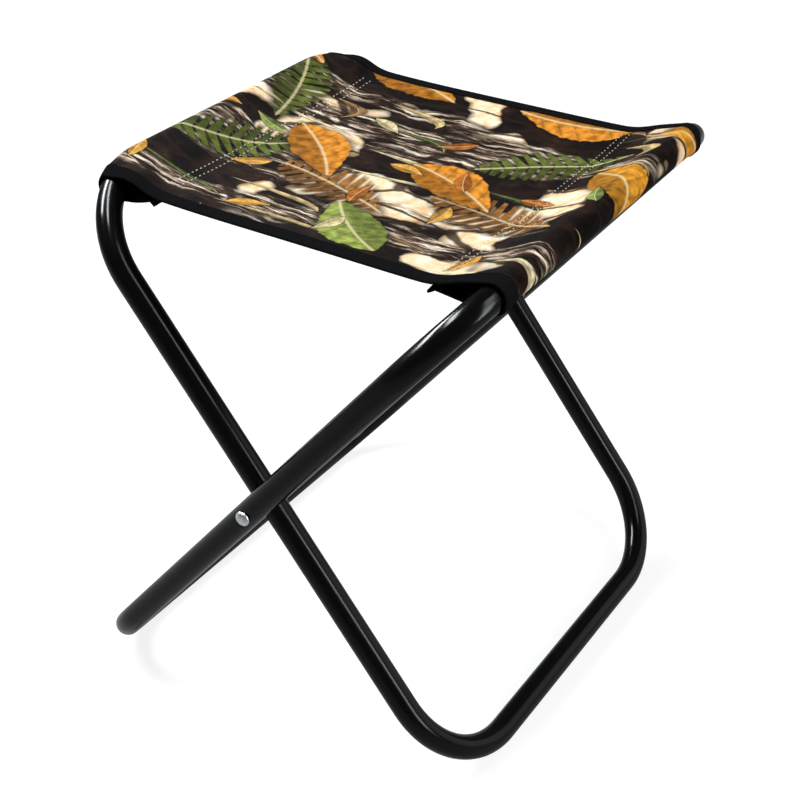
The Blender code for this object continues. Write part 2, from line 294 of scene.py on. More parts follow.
def threadHeight(tree, flat):
    pitchMm = clothLook["threadMm"]
    warp, weft = [addNode(tree, "TexWave", {"Vector": flat, "Scale": waveScale(pitchMm)},
                          bands_direction=way).outputs["Fac"] for way in ("X", "Y")]
    over = addNode(tree, "TexChecker", {"Vector": flat, "Scale": 1000 / pitchMm, "Color1": (1, 1, 1, 1),
                                        "Color2": (0, 0, 0, 1)})
    return addNode(tree, "Mix", {0: over.outputs["Fac"], 2: warp, 3: weft})


def printedPolyester():
    look = clothLook
    material, tree, shader = newMaterial("printedWovenPolyester")
    flat = addNode(tree, "UVMap", uv_map="flatCloth").outputs["UV"]
    drift = addNode(tree, "TexNoise", {"Vector": flat, "Scale": 1000 / look["driftMm"], "Detail": 4})
    stray = (look["stray"], look["stray"], 0)
    ragged = addNode(tree, "VectorMath", [drift.outputs["Color"], stray, flat], operation="MULTIPLY_ADD")
    blotch = addNode(tree, "TexNoise", {"Vector": ragged, "Scale": 1000 / look["groundMm"], "Detail": 6,
                                        "Roughness": 0.62})
    base = addNode(tree, "ValToRGB", {"Fac": blotch}, ramp=look["ground"])
    # pale dry clearings with ragged edges
    openArea = addNode(tree, "TexNoise", {"Vector": ragged, "Scale": 1000 / look["clearingMm"],
                                          "Detail": 2.5})
    openMask = addNode(tree, "MapRange", [openArea, *look["clearingEdge"]])
    mottle = addNode(tree, "TexNoise", {"Vector": ragged, "Scale": 1000 / look["mottleMm"], "Detail": 5,
                                        "Roughness": 0.6})
    dry = addNode(tree, "ValToRGB", {"Fac": mottle}, ramp=look["clearing"])
    base = addNode(tree, "Mix", {0: openMask, 6: base, 7: dry}, data_type="RGBA")
    # long weathered grain in fields
    lain = addNode(tree, "Mapping", {"Vector": ragged, "Rotation": (0, 0, radians(look["grainTurn"])),
                                     "Scale": (look["grainWideMm"] / look["grainLongMm"], 1, 1)})
    streak = addNode(tree, "TexNoise", {"Vector": lain, "Scale": 1000 / look["grainWideMm"], "Detail": 5,
                                        "Roughness": 0.7})
    grain = addNode(tree, "ValToRGB", {"Fac": streak}, ramp=look["grain"])
    grainArea = addNode(tree, "TexNoise", {"Vector": lain, "Scale": 1000 / look["grainFieldMm"], "Detail": 2})
    grainMask = addNode(tree, "MapRange", [grainArea, *look["grainEdge"]])
    base = addNode(tree, "Mix", {0: grainMask, 6: base, 7: grain}, data_type="RGBA")
    # thin dark stems that branch across everything
    lainStem = addNode(tree, "Mapping", {"Vector": ragged, "Rotation": (0, 0, radians(look["stemTurn"])),
                                         "Scale": (look["stemLength"], 1, 1)})
    stems = addNode(tree, "TexVoronoi", {"Vector": lainStem, "Scale": 1000 / look["stemMm"]},
                    voronoi_dimensions="2D", feature="DISTANCE_TO_EDGE")
    stemMask = addNode(tree, "MapRange", [stems, *look["stemEdge"], look["stemShare"], 0.0])
    base = addNode(tree, "Mix", {0: stemMask, 6: base, 7: linear(look["stem"])}, data_type="RGBA")
    for leaves in look["leaves"]:
        base = leafLayer(tree, flat, base, leaves)
    height = threadHeight(tree, flat)
    # painted highlight on the thread tops and painted shade in the gaps between them, following the weave's
    # height
    paintedThreadShade = addNode(tree, "MapRange", [height, 0.0, 1.0, *look["paintedThreadShade"]])
    colour = addNode(tree, "VectorMath", {0: base, "Scale": paintedThreadShade}, operation="SCALE")
    bump = addNode(tree, "Bump", {"Height": height, "Strength": look["relief"],
                                  "Distance": look["threadDepth"]})
    setInputs(tree, shader, {"Base Color": colour, "Normal": bump, "Roughness": look["rough"],
                             "Specular IOR Level": look["specular"], "Sheen Weight": look["sheen"],
                             "Sheen Roughness": look["sheenRough"]})
    return material


# The unprinted back of the same cloth, with its dark rubbery coat: charcoal, dull, threads shown in painted
# shade
backLook = {"tints": [(0.0, "#1b1b1b"), (1.0, "#2d2d2b")], "relief": 0.5, "rough": 0.7, "specular": 0.15}


def coatedBack():
    material, tree, shader = newMaterial("coatedPolyesterBack")
    flat = addNode(tree, "UVMap", uv_map="flatCloth").outputs["UV"]
    height = threadHeight(tree, flat)
    # painted shade between the threads and a painted highlight on their tops, from the weave's height
    tint = addNode(tree, "ValToRGB", {"Fac": height}, ramp=backLook["tints"])
    bump = addNode(tree, "Bump", {"Height": height, "Strength": backLook["relief"],
                                  "Distance": clothLook["threadDepth"]})
    setInputs(tree, shader, {"Base Color": tint, "Normal": bump, "Roughness": backLook["rough"],
                             "Specular IOR Level": backLook["specular"]})
    return material


# Black polyester grosgrain: ribs across the tape, near black, dull, with a painted highlight on each rib.
# The real ribs are about 0.6 mm; they are drawn at 1.1 mm so that they show.
tapeLook = {"ribMm": 1.1, "ribDepth": 0.00015, "relief": 0.6, "fuzzMm": 1.5,
            "tints": [(0.05, "#111112"), (0.6, "#1b1b1d")], "rough": 0.75, "specular": 0.0}


def grosgrainTape():
    material, tree, shader = newMaterial("blackGrosgrainTape")
    flat = addNode(tree, "UVMap", uv_map="flatCloth").outputs["UV"]
    ribs = addNode(tree, "TexWave", {"Vector": flat, "Scale": waveScale(tapeLook["ribMm"])},
                   bands_direction="X").outputs["Fac"]
    fuzz = addNode(tree, "TexNoise", {"Vector": flat, "Scale": 1000 / tapeLook["fuzzMm"], "Detail": 3})
    # painted highlight on the rib tops and painted shade between them, broken up by a random fuzz
    tone = addNode(tree, "Math", [ribs, fuzz], operation="MULTIPLY")
    tint = addNode(tree, "ValToRGB", {"Fac": tone}, ramp=tapeLook["tints"])
    bump = addNode(tree, "Bump", {"Height": ribs, "Strength": tapeLook["relief"],
                                  "Distance": tapeLook["ribDepth"]})
    setInputs(tree, shader, {"Base Color": tint, "Normal": bump, "Roughness": tapeLook["rough"],
                             "Specular IOR Level": tapeLook["specular"]})
    return material


# Spun polyester sewing thread: off-white, matt, twisted strands just visible through painted shade in the
# grooves between them.
# The real strands are about 0.2 mm; they are drawn at 0.7 mm so that they show.
threadLook = {"strandMm": 0.7, "twist": 1.5, "tints": [(0.0, "#aaa498"), (0.7, "#dfdacf")], "rough": 0.8}


def sewingThread():
    material, tree, shader = newMaterial("paleSewingThread")
    where = addNode(tree, "TexCoord").outputs["Object"]
    # light and dark bands across the thread: painted shade in the grooves of the twist
    strand = addNode(tree, "TexWave", {"Vector": where, "Scale": waveScale(threadLook["strandMm"]),
                                       "Distortion": threadLook["twist"]}, bands_direction="DIAGONAL")
    tint = addNode(tree, "ValToRGB", {"Fac": strand.outputs["Fac"]}, ramp=threadLook["tints"])
    setInputs(tree, shader, {"Base Color": tint, "Roughness": threadLook["rough"]})
    return material


enamel, zinc, printed, backing = stoveEnamel(), zincPlate(), printedPolyester(), coatedBack()
tape, thread = grosgrainTape(), sewingThread()
print("materials made")


# Hoops: one tube each, bent four times, its ends meeting in the top bar under the sleeve. Metres throughout.
hoopMake = {
    "tubeRadius": 0.009, "wall": 0.0012, "bendRadius": 0.066, "pivotHeight": 0.1958, "barHeight": 0.3803,
    "endGap": 0.0006, "ringSides": 48, "bendRings": 26, "ringSpacing": 0.014,
    "pivotRing": 0.0085, "pivotRoom": 1.2,  # two rings stand beside the rivet hole, the others keep clear
    "flatter": 0.03, "wider": 0.012,  # how far a bend flattens the round tube
    "holeRadius": 0.00333, "holeSides": 48, "drillPast": 0.03,
}
hoops = {
    "inner": {"side": -1, "lean": radians(51.5), "half": 0.166},
    "outer": {"side": 1, "lean": radians(50.5), "half": 0.1856},
}
for hoop in hoops.values():
    lean, side = hoop["lean"], hoop["side"]
    hoop["legUp"] = (hoopMake["barHeight"] - hoopMake["pivotHeight"]) / sin(lean)
    hoop["legDown"] = (hoopMake["pivotHeight"] - hoopMake["tubeRadius"]) / sin(lean)
    hoop["reach"] = hoop["legUp"] * cos(lean)
    hoop["up"] = Vector((side * cos(lean), 0, sin(lean)))
    hoop["out"] = Vector((side * sin(lean), 0, -cos(lean)))


def hoopRings(hoop):
    bend, across = hoopMake["bendRadius"], hoop["half"] - hoopMake["bendRadius"]
    high, low = hoop["legUp"] - bend, bend - hoop["legDown"]
    rings = [(hoop["legUp"], hoopMake["endGap"] / 2, 0, 0)]

    def runTo(along, beside, angle):
        startAlong, startBeside = rings[-1][:2]
        length = hypot(along - startAlong, beside - startBeside)
        steps = ceil(length / hoopMake["ringSpacing"])
        shares = [i / steps for i in range(1, steps + 1)]
        if startAlong * along < 0:  # a leg, so rings stand close beside the rivet hole
            middle = startAlong / (startAlong - along)
            near = hoopMake["pivotRing"] / length
            shares = [s for s in shares if abs(s - middle) > near * hoopMake["pivotRoom"]]
            shares += [middle - near, middle + near]
        for share in sorted(shares):
            rings.append((mix(startAlong, along, share), mix(startBeside, beside, share), angle, 0))

    for index, (along, beside) in enumerate([(high, across), (low, across), (low, -across), (high, -across)]):
        first = index * pi / 2
        runTo(along + bend * cos(first), beside + bend * sin(first), first)
        for step in range(1, hoopMake["bendRings"] + 1):
            share = step / hoopMake["bendRings"]
            angle = first + share * pi / 2
            rings.append((along + bend * cos(angle), beside + bend * sin(angle), angle, sin(pi * share) ** 2))
    runTo(hoop["legUp"], -hoopMake["endGap"] / 2, 2 * pi)
    return rings


def hoopTube(name, hoop):
    sides, radius = hoopMake["ringSides"], hoopMake["tubeRadius"]
    pivot, depth = Vector((0, 0, hoopMake["pivotHeight"])), Vector((0, 1, 0))
    rings = hoopRings(hoop)
    points, faces = [], []
    for along, beside, angle, bent in rings:
        middle = pivot + hoop["up"] * along + depth * beside
        outward = hoop["up"] * cos(angle) + depth * sin(angle)
        flat = radius * (1 - hoopMake["flatter"] * bent)
        wide = radius * (1 + hoopMake["wider"] * bent)
        for wall in (0, hoopMake["wall"]):
            for i in range(sides):
                turn = 2 * pi * i / sides
                points.append(middle + outward * cos(turn) * (flat - wall)
                              + hoop["out"] * sin(turn) * (wide - wall))
    for ring in range(len(rings) - 1):
        a, b = 2 * sides * ring, 2 * sides * (ring + 1)
        for i in range(sides):
            j = (i + 1) % sides
            faces.append((a + i, a + j, b + j, b + i))
            faces.append((a + sides + i, b + sides + i, b + sides + j, a + sides + j))
    last = 2 * sides * (len(rings) - 1)
    for i in range(sides):
        j = (i + 1) % sides
        faces.append((i, sides + i, sides + j, j))
        faces.append((last + i, last + j, last + sides + j, last + sides + i))
    tube = addMesh(name, points, faces, [enamel])
    faceOutwards(tube)

    drillSides, reach = hoopMake["holeSides"], hoop["half"] + hoopMake["drillPast"]
    turns = [2 * pi * i / drillSides for i in range(drillSides)]
    rim = [Vector((cos(turn), 0, sin(turn))) * hoopMake["holeRadius"] + pivot for turn in turns]
    drillPoints = [p - depth * reach for p in rim] + [p + depth * reach for p in rim]
    drillFaces = [tuple(range(drillSides)), tuple(range(drillSides, 2 * drillSides))]
    drillFaces += [(i, (i + 1) % drillSides, drillSides + (i + 1) % drillSides, drillSides + i)
                   for i in range(drillSides)]
    drill = addMesh("drill", drillPoints, drillFaces, [])
    faceOutwards(drill)
    cut = tube.modifiers.new("rivetHoles", "BOOLEAN")
    cut.operation, cut.solver, cut.object = "DIFFERENCE", "EXACT", drill
    applyModifiers(tube)
    bpy.data.objects.remove(drill)
    sharpenEdges(tube)
    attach(tube, name.replace("HoopTube", "_frame"))
    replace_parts(tube, name.replace("HoopTube", "_hoop_tube"))
    return tube


tubes = [hoopTube("innerHoopTube", hoops["inner"]), hoopTube("outerHoopTube", hoops["outer"])]
for node in ("inner_hoop_spigot", "outer_hoop_spigot"):  # hidden inside the bars, so the CAD ones stay
    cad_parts[node].data.materials.clear()
    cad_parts[node].data.materials.append(zinc)
print("hoops bent and drilled")


# Rivets and washers, turned about the pivot axis. Heights run outwards from the stool's middle.
rivetMake = {
    "shank": 0.003, "head": 0.00525, "headHigh": 0.003, "land": 0.0004, "landFoot": 0.4,
    "setHead": 0.0045, "setHigh": 0.0022, "round": 0.0002, "domeSteps": 10, "gap": 0.0003,
    "spacerRadius": 0.0075, "spacerThick": 0.001, "washerRadius": 0.0065, "washerThick": 0.001,
    "bore": 0.0033, "edge": 0.00022, "sides": 64, "sharpAngle": 50,
}


def turnedPiece(name, profile, end, closed):
    sides = rivetMake["sides"]
    points, faces, rows = [], [], []
    for radius, height in profile:
        row = []
        for i in range(sides if radius > 0 else 1):
            turn = 2 * pi * i / sides
            points.append((radius * cos(turn), end * height, hoopMake["pivotHeight"] + radius * sin(turn)))
            row.append(len(points) - 1)
        rows.append(row)
    for low, high in zip(rows, rows[1:] + rows[:1] if closed else rows[1:]):
        for i in range(sides):
            j = (i + 1) % sides
            face = [low[i % len(low)], low[j % len(low)], high[j % len(high)], high[i % len(high)]]
            faces.append(tuple(dict.fromkeys(face)))
    piece = addMesh(name, points, faces, [zinc])
    faceOutwards(piece, rivetMake["sharpAngle"])
    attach(piece, "outer_frame")
    return piece


def washerProfile(low, radius, thick):
    bore, edge, high = rivetMake["bore"], rivetMake["edge"], low + thick
    return [(bore + edge, low), (radius - edge, low), (radius, low + edge), (radius, high - edge),
            (radius - edge, high), (bore + edge, high), (bore, high - edge), (bore, low + edge)]


outerFace = hoops["outer"]["half"] + hoopMake["tubeRadius"] + rivetMake["gap"]
innerFace = hoops["inner"]["half"] - hoopMake["tubeRadius"] - rivetMake["gap"]
setSeat = innerFace - rivetMake["washerThick"] - rivetMake["gap"]


def rivetProfile():
    head, shank, setHead = rivetMake["head"], rivetMake["shank"], rivetMake["setHead"]
    headHigh, setHigh = rivetMake["headHigh"], rivetMake["setHigh"]
    land, corner, count = rivetMake["land"], rivetMake["round"], rivetMake["domeSteps"]
    turns = [step / count * pi / 2 for step in range(1, count + 1)]
    # domed head with a short upright land at its rim
    dome = [(head * sin(turn), outerFace + (land + (headHigh - land) * cos(turn))) for turn in turns]
    shaft = [(head, outerFace + land * rivetMake["landFoot"]), (head - corner, outerFace),
             (shank + corner, outerFace), (shank, outerFace - corner),
             (shank, setSeat + corner), (shank + corner, setSeat),
             (setHead - corner, setSeat), (setHead, setSeat - corner)]
    setDome = [(setHead * cos(turn), setSeat - corner - (setHigh - corner) * sin(turn))
               for turn in turns[:-1]]
    return [(0, outerFace + headHigh)] + dome + shaft + setDome + [(0, setSeat - setHigh)]


spacerLow = hoops["inner"]["half"] + hoopMake["tubeRadius"] + rivetMake["gap"]
spacerProfile = washerProfile(spacerLow, rivetMake["spacerRadius"], rivetMake["spacerThick"])
setWasherProfile = washerProfile(innerFace - rivetMake["washerThick"], rivetMake["washerRadius"],
                                 rivetMake["washerThick"])
for name, end in (("front", -1), ("rear", 1)):
    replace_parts(turnedPiece(name + "PivotRivet", rivetProfile(), end, False), name + "_pivot_rivet")
    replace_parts(turnedPiece(name + "SpacerWasher", spacerProfile, end, True), name + "_spacer_washer")
    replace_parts(turnedPiece(name + "SetWasher", setWasherProfile, end, True), name + "_set_washer")
print("rivets and washers turned")


# Seat cloth: one strip, each end folded back round a bar and sewn down with two rows of stitches
clothMake = {
    "thick": 0.0008, "gap": 0.00012, "straightHalf": 0.100, "clothHalf": 0.138,
    "tapeStart": 0.128, "tapeThick": 0.0005, "tapeRunIn": 0.009,
    # sag of the bound edges, and the deeper dish between them; falls say how soon each flattens from a bar
    "edgeSag": 0.0053, "edgeFall": (3.5, 6), "dish": 0.0060, "dishFall": (1.5, 6), "dishEnds": 3,
    # where each sleeve is sewn, how far its hem runs on, how its mouth lies on the tube's bend,
    # and how much further forward its front mouth reaches than its rear one
    "inner": {"stitch": 0.0390, "tail": 0.0072, "mouthTail": 0.0036, "follow": 0.95, "bulge": 0.0042,
              "frontPulls": (0.0005, 0.0010, 0.0075), "rearPulls": (0.0005, 0.0010, 0.0075), "forward": 0},
    "outer": {"stitch": 0.0408, "tail": 0.0070, "mouthTail": 0.0050, "follow": 0.6, "bulge": 0.0008,
              "frontPulls": (0.0, 0.0, 0.0036), "rearPulls": (0.0040, 0.0100, 0.0050), "forward": 0.006},
    "hemPull": 0.0012, "tailDroop": 0.0045, "seamDroop": 0.35, "slack": 0.0006, "slideFall": 2.5,
    "pullBack": 0.0100, "pullSections": 4,
    "wrapSteps": 30, "flapSteps": 12, "tailSteps": 4, "panelSteps": 72, "rowSpacing": 0.0022,
    "easePasses": 8, "easeReach": 0.009,
}
stitchRows = {"inner": [-0.1078, -0.1016], "outer": [0.1056, 0.1113]}
tapeOffset = clothMake["thick"] / 2 + clothMake["gap"] + clothMake["tapeThick"] / 2


def smooth(share):
    share = clamp(share)
    return share * share * (3 - 2 * share)


def taped(v):
    return smooth((abs(v) - clothMake["tapeStart"] + clothMake["tapeRunIn"]) / clothMake["tapeRunIn"])


def mouthShare(y):  # 0 along the bar's straight part, 1 at the sleeve's mouth
    return clamp((abs(y) - clothMake["straightHalf"]) / (clothMake["clothHalf"] - clothMake["straightHalf"]))


def acrossSeat(x):  # -1 at the inner bar, 1 at the outer one
    inner, outer = hoops["inner"]["reach"], hoops["outer"]["reach"]
    return 2 * (x + inner) / (inner + outer) - 1


def panelPoint(x, y):
    middle, alongBar = acrossSeat(x), clamp(abs(y) / clothMake["tapeStart"])
    edgeFall, dishFall = [clothMake[k][0 if middle < 0 else 1] for k in ("edgeFall", "dishFall")]
    dish = clothMake["dish"] * (1 - alongBar ** clothMake["dishEnds"])
    return Vector((x, hoopMake["barHeight"] - clothMake["edgeSag"] * (1 - abs(middle) ** edgeFall)
                   - dish * (1 - abs(middle) ** dishFall)))


def slideAt(x, v):  # how far the cloth lies to the front of its own place
    towardsOuter = clamp(0.5 + 0.5 * acrossSeat(x)) ** clothMake["slideFall"]
    return clothMake["outer"]["forward"] * towardsOuter * clamp(-v / clothMake["clothHalf"])


def steps(start, end, count):
    return [start + (end - start) * (i / count) for i in range(1, count + 1)]


def sleevePoints(key, y, tapeShare):  # from the stitch row round the bar and back under to the hem's end
    hoop, seam = hoops[key], clothMake[key]
    bend, radius, mouth = hoopMake["bendRadius"], hoopMake["tubeRadius"], mouthShare(y)
    reach = seam["forward"] * clamp(-y / clothMake["clothHalf"])
    past = max(0, abs(y - reach) - hoop["half"] + bend)
    top = mix(radius, sqrt((bend + radius) ** 2 - past ** 2) - bend, seam["follow"])
    bottom = sqrt((bend - radius) ** 2 - past ** 2) - bend
    thick, gap, tapeThick = clothMake["thick"], clothMake["gap"], clothMake["tapeThick"]
    clear = thick / 2 + gap + tapeShare * (tapeThick + gap)
    longHalf, deepHalf = (top - bottom) / 2 + clear, radius + clear
    up, out = hoop["up"].xz, hoop["out"].xz
    middle = Vector((hoop["side"] * hoop["reach"], hoopMake["barHeight"])) + up * (top + bottom) / 2
    layers = mix(thick, 2 * tapeOffset + tapeThick, tapeShare) + gap
    below = Vector((0, -layers))
    stitch = panelPoint(hoop["side"] * (hoop["reach"] - seam["stitch"]), y)
    tailLong = mix(seam["tail"], seam["mouthTail"], smooth(mouth))
    tail = panelPoint(hoop["side"] * (hoop["reach"] - seam["stitch"] - tailLong), y)
    tailDroop, seamDroop = clothMake["tailDroop"] * mouth, clothMake["seamDroop"]

    def tangent(point, sign):
        along, across = (point - middle).dot(up) / longHalf, (point - middle).dot(out) / deepHalf
        return atan2(across, along) + sign * acos(1 / hypot(along, across))

    first, last = tangent(stitch, 1), tangent(stitch + below, -1) + 2 * pi
    ease = 1 / cos((last - first) / clothMake["wrapSteps"] / 2)
    wrap = []
    for i in range(clothMake["wrapSteps"] + 1):
        angle = mix(first, last, i / clothMake["wrapSteps"])
        wrap.append(middle + (up * longHalf * cos(angle) + out * deepHalf * sin(angle)) * ease)
    flap = clothMake["flapSteps"]
    points = [stitch.lerp(wrap[0], share) + Vector((0, seam["bulge"] * mouth * sin(pi * share)))
              for share in steps(0, 1, flap)] + wrap[1:]
    for share in steps(0, 1, flap):  # the under layer hangs a little slack
        droop = clothMake["slack"] * sin(pi * share) + tailDroop * seamDroop * share ** 3
        points.append(wrap[-1].lerp(stitch + below, share) - Vector((0, droop)))
    for share in steps(0, 1, clothMake["tailSteps"]):
        droop = tailDroop * mix(seamDroop, 1, share)
        points.append((stitch + below).lerp(tail + below, share) - Vector((0, droop)))
    return points


sleeveCount = 2 * clothMake["flapSteps"] + clothMake["wrapSteps"] + clothMake["tailSteps"]


def mouthPulls(key, end):  # how far the tube's bend draws a sleeve's points back, as shares of pullBack
    top, side, under = [pull / clothMake["pullBack"] for pull in clothMake[key][end + "Pulls"]]
    hem = clothMake["hemPull"] / clothMake["pullBack"]
    pulls = [top * smooth(share) for share in steps(0, 1, clothMake["flapSteps"])]
    pulls += [mix(top, side, smooth(2 * share)) if share < 0.5 else mix(side, under, smooth(2 * share - 1))
              for share in steps(0, 1, clothMake["wrapSteps"])]
    pulls += [mix(under, hem, share) for share in steps(0, 1, clothMake["flapSteps"])]
    return pulls + [hem] * clothMake["tailSteps"]


panelPulls = [0] * (clothMake["panelSteps"] + 1)
pullShares = {end: mouthPulls("inner", end)[::-1] + panelPulls + mouthPulls("outer", end)
              for end in ("front", "rear")}


def clothSection(y, tapeShare):
    leftStitch = -hoops["inner"]["reach"] + clothMake["inner"]["stitch"]
    rightStitch = hoops["outer"]["reach"] - clothMake["outer"]["stitch"]
    count = clothMake["panelSteps"]
    panel = [panelPoint(mix(leftStitch, rightStitch, i / count), y) for i in range(count + 1)]
    points = sleevePoints("inner", y, tapeShare)[::-1] + panel + sleevePoints("outer", y, tapeShare)
    # the top layer eases through the stitch rows instead of kinking
    edge = sleeveCount - clothMake["flapSteps"] + 1
    near = [i for i in range(edge, len(points) - edge)
            if min(abs(points[i].x - leftStitch), abs(points[i].x - rightStitch)) < clothMake["easeReach"]]
    for _ in range(clothMake["easePasses"]):
        moved = {i: points[i] * 0.5 + (points[i - 1] + points[i + 1]) * 0.25 for i in near}
        for i, point in moved.items():
            points[i] = point if point.y > points[i].y else points[i]
    return points


def clothRow(v):  # places of one thread across the strip, v from its middle, as the sewn cloth lies
    end, depth = (1 if v > 0 else -1), clothMake["pullSections"]
    reach = clothMake["pullBack"] * mouthShare(v)
    sections = [clothSection(v - end * reach * i / depth, taped(v)) for i in range(depth + 1 if reach else 1)]
    row = []
    for i, pull in enumerate(pullShares["rear" if v > 0 else "front"]):
        y = v - end * reach * pull
        low = min(int(pull * depth), depth - 1) if reach else 0
        p = sections[low][i].lerp(sections[low + 1][i], pull * depth - low) if reach else sections[0][i]
        row.append(Vector((p.x, y - slideAt(p.x, v), p.y)))
    return row


def arcLengths(points):
    middle = len(points) // 2
    lengths = [0.0]
    for a, b in zip(points, points[1:]):
        lengths.append(lengths[-1] + (b - a).length)
    return [length - lengths[middle] for length in lengths]


def stripMesh(name, rows, materials, thick, backed):
    # rows of (points, flat places), front to back
    count = len(rows[0][0])
    points = [p for row, _ in rows for p in row]
    faces = [(r * count + i, r * count + i + 1, (r + 1) * count + i + 1, (r + 1) * count + i)
             for r in range(len(rows) - 1) for i in range(count - 1)]
    piece = addMesh(name, points, faces, materials)
    flat = [f for _, row in rows for f in row]
    layer = piece.data.uv_layers.new(name="flatCloth")
    for loop in piece.data.loops:
        layer.data[loop.index].uv = flat[loop.vertex_index]
    body = piece.modifiers.new("thickness", "SOLIDIFY")
    body.thickness, body.offset = thick, 0
    body.material_offset = body.material_offset_rim = 1 if backed else 0
    applyModifiers(piece)
    return piece


# The cloth isn't quite flat: broad slack, small creases, puckers beside the stitches
waveMake = {
    "broadMm": 55, "broadLong": 1.6, "broadHigh": 0.0009, "broadSeed": 3.1,
    "fineMm": 16, "fineLong": 2.2, "fineHigh": 0.00025, "fineSeed": 7.7,
    "puckerMm": 8.8, "puckerHigh": 0.0004, "puckerReach": 0.011, "puckerOff": 0.003,
    "ripple": 0.6, "rippleSeed": 1.3, "beat": 0.4, "rowApart": 90, "fadeSteps": 8,
}


def surfaceWave(x, v):
    height = 0
    for kind in ("broad", "fine"):
        size = waveMake[kind + "Mm"]
        spot = Vector((x * 1000 / size, v * 1000 / size / waveMake[kind + "Long"], waveMake[kind + "Seed"]))
        height += waveMake[kind + "High"] * noise.noise(spot)
    for row in stitchRows["inner"] + stitchRows["outer"]:
        reach = clamp(1 - abs(abs(x - row) - waveMake["puckerOff"]) / waveMake["puckerReach"]) ** 2
        spot = Vector((row * waveMake["rowApart"], v * 2000 / waveMake["puckerMm"], waveMake["rippleSeed"]))
        beat = sin(2 * pi * v * 1000 / waveMake["puckerMm"])
        pucker = waveMake["ripple"] * noise.noise(spot) + waveMake["beat"] * beat
        height += waveMake["puckerHigh"] * reach * pucker
    return height * (1 - taped(v)) * (1 - mouthShare(v) ** 2)  # calm where it is bound and at the mouths


topFrom = sleeveCount - clothMake["flapSteps"]


def topLayer(row, v):  # the same row with the top layer's waves, which fade towards the layer's ends
    last = len(row) - topFrom - 1
    shares = [clamp(min(i - topFrom, last - i) / waveMake["fadeSteps"]) for i in range(len(row))]
    return [p + Vector((0, 0, surfaceWave(p.x, v) * share)) for p, share in zip(row, shares)]


half = clothMake["clothHalf"]
rowCount = ceil(2 * half / clothMake["rowSpacing"])
clothRows = []
for v in [-half + 2 * half * r / rowCount for r in range(rowCount + 1)]:
    row = clothRow(v)
    clothRows.append((topLayer(row, v), [(u, v) for u in arcLengths(row)]))
seatCloth = stripMesh("seatCloth", clothRows, [printed, backing], clothMake["thick"], True)
cut = arcLengths(clothRow(0))


# Edge bindings: grosgrain folded round each cut edge of the strip
bindingMake = {"flatSteps": 5, "foldSteps": 8, "foldMiddle": 0.1376}


def bindingRows(end):
    start, middle = clothMake["tapeStart"], bindingMake["foldMiddle"]
    base = {v: clothRow(end * v) for v in [start] + steps(start, middle, bindingMake["flatSteps"])}
    places = list(base)
    lengths = arcLengths(base[places[-1]])

    def lifted(v, outward, lift):
        # moves a row off the cloth along its own normal, and past the edge along the cloth
        row = base[v]
        other = places[places.index(v) - 1] if places.index(v) else places[1]
        made = []
        for i, p in enumerate(row):
            alongStrip = row[min(i + 1, len(row) - 1)] - row[max(i - 1, 0)]
            toEdge = (p - base[other][i]) * (1 if v > other else -1)
            toEdge -= alongStrip * toEdge.dot(alongStrip) / alongStrip.length_squared
            normal = alongStrip.cross(toEdge * end).normalized()
            made.append(p + normal * lift + toEdge.normalized() * outward)
        return made

    path = [(v, 0, tapeOffset) for v in places]
    for step in range(1, bindingMake["foldSteps"]):
        turn = pi * step / bindingMake["foldSteps"]
        path.append((places[-1], tapeOffset * sin(turn), tapeOffset * cos(turn)))
    path += [(v, 0, -tapeOffset) for v in places[::-1]]
    rows, travelled, before = [], 0, path[0]
    for v, outward, lift in path:
        travelled += hypot(v + outward - before[0] - before[1], lift - before[2])
        before = (v, outward, lift)
        rows.append((lifted(v, outward, lift), [(u, travelled) for u in lengths]))
    return rows if end > 0 else rows[::-1]


bindings = []
for name, end in (("front", -1), ("rear", 1)):
    binding = stripMesh(name + "EdgeBinding", bindingRows(end), [tape], clothMake["tapeThick"], False)
    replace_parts(binding, name + "_edge_binding")
    bindings.append(binding)
print("edges bound")


# Stitches: short beads of thread standing on the cloth, two rows to a sleeve
stitchMake = {
    "pitch": 0.0044, "long": 0.0018, "radius": 0.00038, "sides": 8, "span": {"inner": 0.117, "outer": 0.1265},
    # places along a bead and how full it is there; how high it stands and how deep it sinks, in radii
    "profile": [(-0.5, 0.35), (-0.36, 0.8), (-0.15, 1), (0.15, 1), (0.36, 0.8), (0.5, 0.35)],
    "stand": 0.45, "sink": 0.25, "sharpAngle": 70,
}


def topAt(x, v):
    row = clothRow(v)
    near = max(i for i in range(topFrom, len(row) - topFrom) if row[i].x <= x)
    share = (x - row[near].x) / (row[near + 1].x - row[near].x)
    return row[near].lerp(row[near + 1], share).z + surfaceWave(x, v) + clothMake["thick"] / 2


def stitchBeads(key):
    points, faces, sides, radius = [], [], stitchMake["sides"], stitchMake["radius"]
    count = int(2 * stitchMake["span"][key] / stitchMake["pitch"])
    for row in stitchRows[key]:
        for s in range(count):
            v = (s + 0.5 - count / 2) * stitchMake["pitch"]
            top, first = topAt(row, v), len(points)
            y = v - slideAt(row, v)
            for place, full in stitchMake["profile"]:
                lift = radius * (stitchMake["stand"] * full - stitchMake["sink"])
                for i in range(sides):
                    turn = 2 * pi * i / sides
                    points.append((row + radius * full * cos(turn), y + place * stitchMake["long"],
                                   top + lift + radius * full * sin(turn)))
            for ring in range(len(stitchMake["profile"]) - 1):
                a = first + ring * sides
                faces += [(a + i, a + (i + 1) % sides, a + sides + (i + 1) % sides, a + sides + i)
                          for i in range(sides)]
            faces.append(tuple(range(first, first + sides)))
            faces.append(tuple(range(len(points) - sides, len(points))))
    beads = addMesh(key + "SleeveStitches", points, faces, [thread])
    faceOutwards(beads, stitchMake["sharpAngle"])
    return beads


stitches = [stitchBeads("inner"), stitchBeads("outer")]
print("stitches laid")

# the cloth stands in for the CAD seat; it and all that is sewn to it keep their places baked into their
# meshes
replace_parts(seatCloth, "seat_cloth")
for piece in [seatCloth] + bindings + stitches:
    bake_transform(piece)
